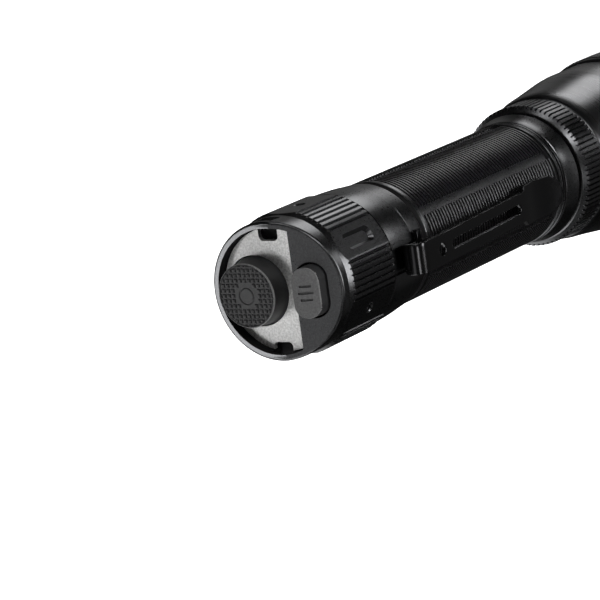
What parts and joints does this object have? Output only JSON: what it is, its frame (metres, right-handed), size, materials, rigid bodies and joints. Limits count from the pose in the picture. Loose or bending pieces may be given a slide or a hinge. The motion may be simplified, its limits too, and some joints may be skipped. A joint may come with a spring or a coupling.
{
  "type": "tactical flashlight",
  "caption": "Slim dark-grey tactical flashlight with a slanted two-switch tail, ribbed twist-off tailcap, spring-steel pocket clip, grooved barrel and flared head.",
  "frame": {"origin": "centre of the bezel's face, on the light's axis, at the level it stands on", "axes": "+Z runs along the light from the bezel to the tail, so the light stands on its bezel with the switches on top; the pocket clip and the slanted half of the tail are on the -Y side; +X is to the right seen from the clip side"},
  "size_m": [0.0364, 0.0364, 0.1459],
  "materials": {
    "anodised_alloy": "satin dark grey hard anodising",
    "satin_steel": "satin",
    "boot_rubber": "matt charcoal",
    "mode_rubber": "matt mid grey",
    "inner_plastic": "matt",
    "white_plastic": "matt",
    "black_plastic": "matt",
    "board": "solder mask",
    "board_metal": "white solder mask",
    "brass": "plated",
    "inner_alloy": "plain",
    "clip_steel": "semi-gloss black",
    "screw_steel": "black",
    "seal_rubber": "matt",
    "cell_sleeve": "shrink sleeve",
    "cell_steel": "plain",
    "led_dome": "clear dome over phosphor",
    "reflector_coat": "mirror",
    "lens_glass": "clear"
  },
  "bodies": {
    "light": {"body_tube": "anodised_alloy", "tail_o_ring": "seal_rubber", "head_o_ring": "seal_rubber", "battery_cell": "cell_sleeve", "cell_negative_plate": "cell_steel", "cell_positive_cap": "cell_steel", "head_housing": "anodised_alloy", "driver_board": "board", "driver_ring": "brass", "positive_spring": "brass", "led_board": "board_metal", "led_emitter": "led_dome", "led_spacer": "white_plastic", "reflector": "reflector_coat", "lens": "lens_glass", "lens_gasket": "seal_rubber", "bezel_ring": "satin_steel"},
    "cap_carrier": {"tail_spring": "brass"},
    "tailcap": {"tailcap_housing": "anodised_alloy", "switch_plate": "satin_steel", "tactical_switch": "black_plastic", "mode_switch": "black_plastic", "switch_board": "board", "switch_carrier": "inner_plastic", "tail_spring_seat": "brass", "switch_retaining_ring": "inner_alloy", "pocket_clip": "clip_steel", "clip_screw": "screw_steel"},
    "tactical_button": {"tactical_boot": "boot_rubber", "tactical_plunger": "inner_plastic", "tactical_switch_stem": "white_plastic"},
    "mode_key": {"mode_button": "mode_rubber", "mode_switch_stem": "white_plastic"}
  },
  "joints": [
    {"name": "tailcap_lift", "type": "slide", "parent": "light", "child": "cap_carrier", "axis": [0, 0, 1], "range_m": [0, 0.005], "deforming": ["tail_spring"]},
    {"name": "tailcap_turn", "type": "hinge", "parent": "cap_carrier", "child": "tailcap", "pos_m": [0, 0, 0.124], "axis": [0, 0, 1], "range_deg": [0, 1800]},
    {"name": "tactical_press", "type": "slide", "parent": "tailcap", "child": "tactical_button", "axis": [0, 0, -1], "range_m": [0, 0.0016], "stiffness_N_per_m": 1500, "springref_m": -0.001},
    {"name": "mode_press", "type": "slide", "parent": "tailcap", "child": "mode_key", "axis": [0, 0, -1], "range_m": [0, 0.0007], "stiffness_N_per_m": 2500, "springref_m": -0.0004}
  ],
  "couplings": [
    {"joint": "tailcap_turn", "follows": "tailcap_lift", "rad_per_m": 6283.2}
  ]
}
